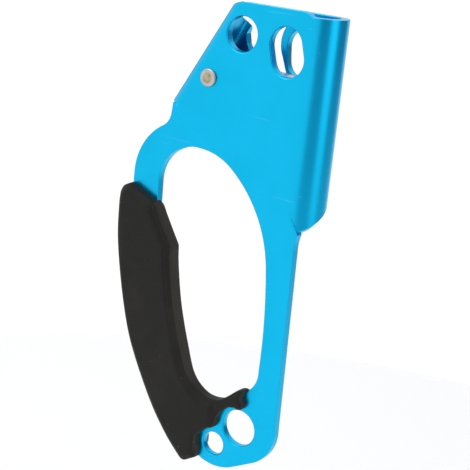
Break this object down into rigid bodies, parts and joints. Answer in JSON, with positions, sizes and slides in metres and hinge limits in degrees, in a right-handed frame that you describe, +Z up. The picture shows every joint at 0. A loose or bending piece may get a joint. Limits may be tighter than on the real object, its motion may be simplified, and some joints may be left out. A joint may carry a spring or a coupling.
{
  "type": "rope ascender",
  "caption": "Handled rope ascender: folded plate with a rope channel, sprung toothed cam with safety catch, moulded rubber hand grip, lower eyes and upper holes.",
  "frame": {"origin": "centre of the large lower eye, halfway through the plate", "axes": "+Z up along the rope channel; +X towards the rope channel's side; +Y from the flat back towards the cam"},
  "size_m": [0.0953, 0.0305, 0.1986],
  "materials": {
    "blue_anodised": "satin anodised",
    "grip_rubber": "matte",
    "zinc_yellow": "yellow zinc plate",
    "bright_steel": "satin",
    "bush_brass": "turned",
    "cam_steel": "cast, nickel plated",
    "spring_steel": "drawn wire",
    "black_plastic": "fine grain"
  },
  "bodies": {
    "frame_body": {"frame": "blue_anodised", "grip": "grip_rubber", "cam_axle": "zinc_yellow", "rear_ring": "bright_steel", "thrust_washer_rear": "bright_steel", "thrust_washer_front": "bright_steel", "cam_bush": "bush_brass", "cam_spring": "spring_steel"},
    "cam_body": {"cam": "cam_steel", "catch_pin": "zinc_yellow", "catch_spring": "spring_steel"},
    "catch_body": {"catch_lever": "bright_steel", "catch_tab": "black_plastic"}
  },
  "joints": [
    {"name": "cam_pivot", "type": "hinge", "parent": "frame_body", "child": "cam_body", "pos_m": [-0.0327, 0, 0.1436], "axis": [0, 1, 0], "range_deg": [0, 55], "stiffness_Nm_per_rad": 0.08, "springref_deg": -34.38, "deforming": ["cam_spring"]},
    {"name": "catch_pivot", "type": "hinge", "parent": "cam_body", "child": "catch_body", "pos_m": [-0.0177, 0, 0.1266], "axis": [0, 1, 0], "range_deg": [0, 20], "stiffness_Nm_per_rad": 0.02, "springref_deg": -28.65, "deforming": ["catch_spring"]}
  ]
}
